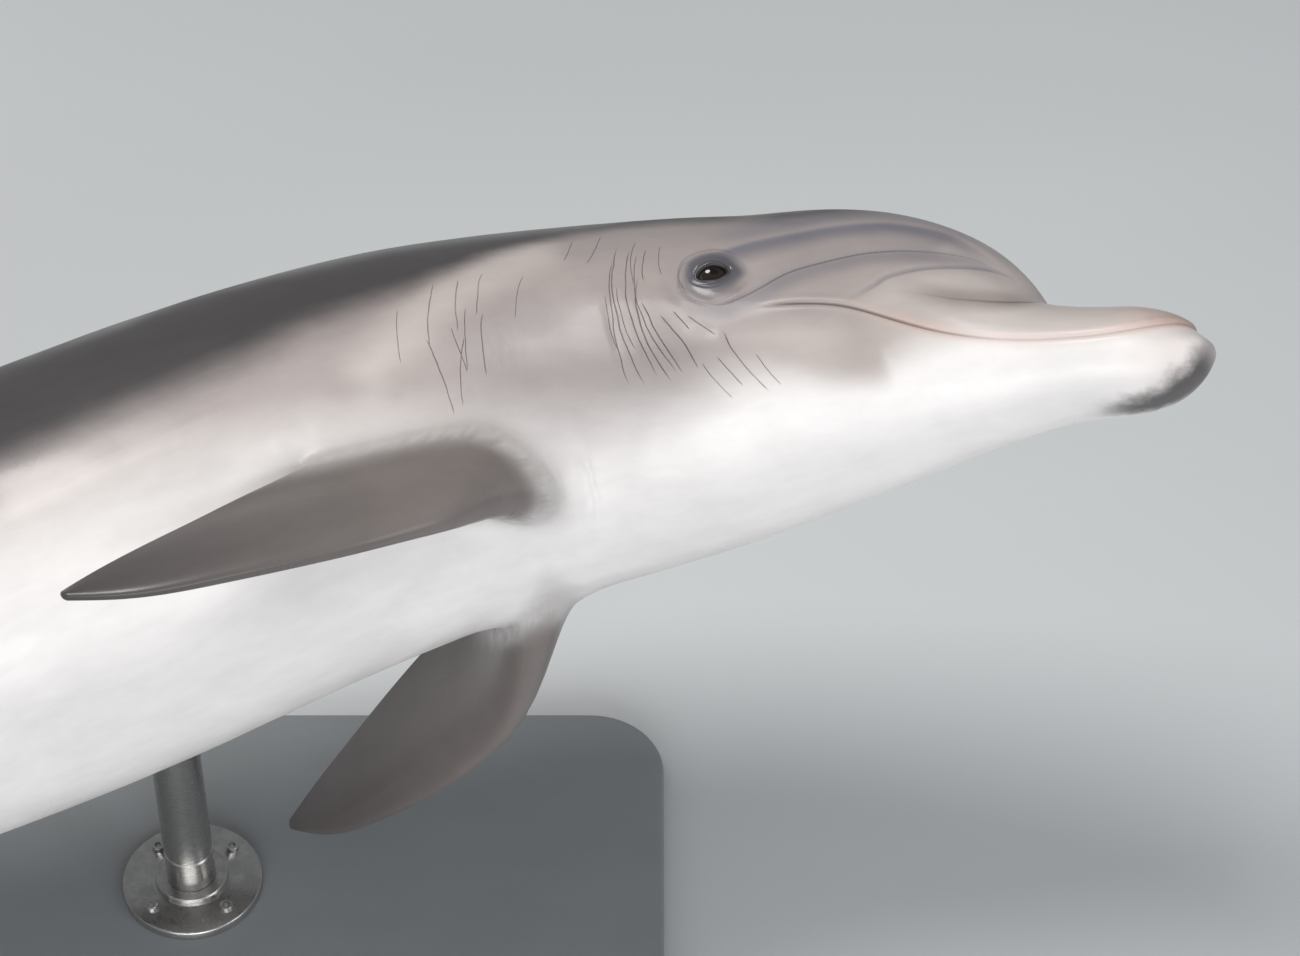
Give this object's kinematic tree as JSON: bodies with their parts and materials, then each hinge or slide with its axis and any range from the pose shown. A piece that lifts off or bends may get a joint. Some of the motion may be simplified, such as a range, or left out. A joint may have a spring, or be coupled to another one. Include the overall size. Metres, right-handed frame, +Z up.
{
  "type": "bottlenose dolphin model",
  "caption": "Life-size bottlenose dolphin rolled on to its left side with its head raised and mouth closed, on a flat base with upright rods",
  "frame": {"origin": "centre of the stand base's underside", "axes": "+X the way the beak points, along the length; +Z up from the floor; the head lies over on its left side with its crown towards +Y and its throat towards -Y"},
  "size_m": [2.1151, 0.6126, 0.6237],
  "materials": {
    "flank_skin": "wet, smooth, warm light grey",
    "back_skin": "wet, smooth, dark brown-grey",
    "pale_skin": "wet, smooth, pale pinkish white",
    "eye": "polished, very dark brown",
    "base_paint": "satin light grey",
    "rod_steel": "brushed"
  },
  "bodies": {
    "root": {"head": "flank_skin", "neck": "flank_skin", "chest": "flank_skin", "trunk": "flank_skin", "tail_front": "flank_skin", "tail_stock": "flank_skin", "lower_jaw": "pale_skin", "dorsal_fin": "back_skin", "flipper_right": "back_skin", "flipper_left": "back_skin", "fluke_right": "back_skin", "fluke_left": "back_skin", "eye_right": "eye", "eye_left": "eye", "stand_base": "base_paint", "stand_flange_front": "rod_steel", "stand_rod_front": "rod_steel", "stand_flange_rear": "rod_steel", "stand_rod_rear": "rod_steel"}
  },
  "joints": []
}
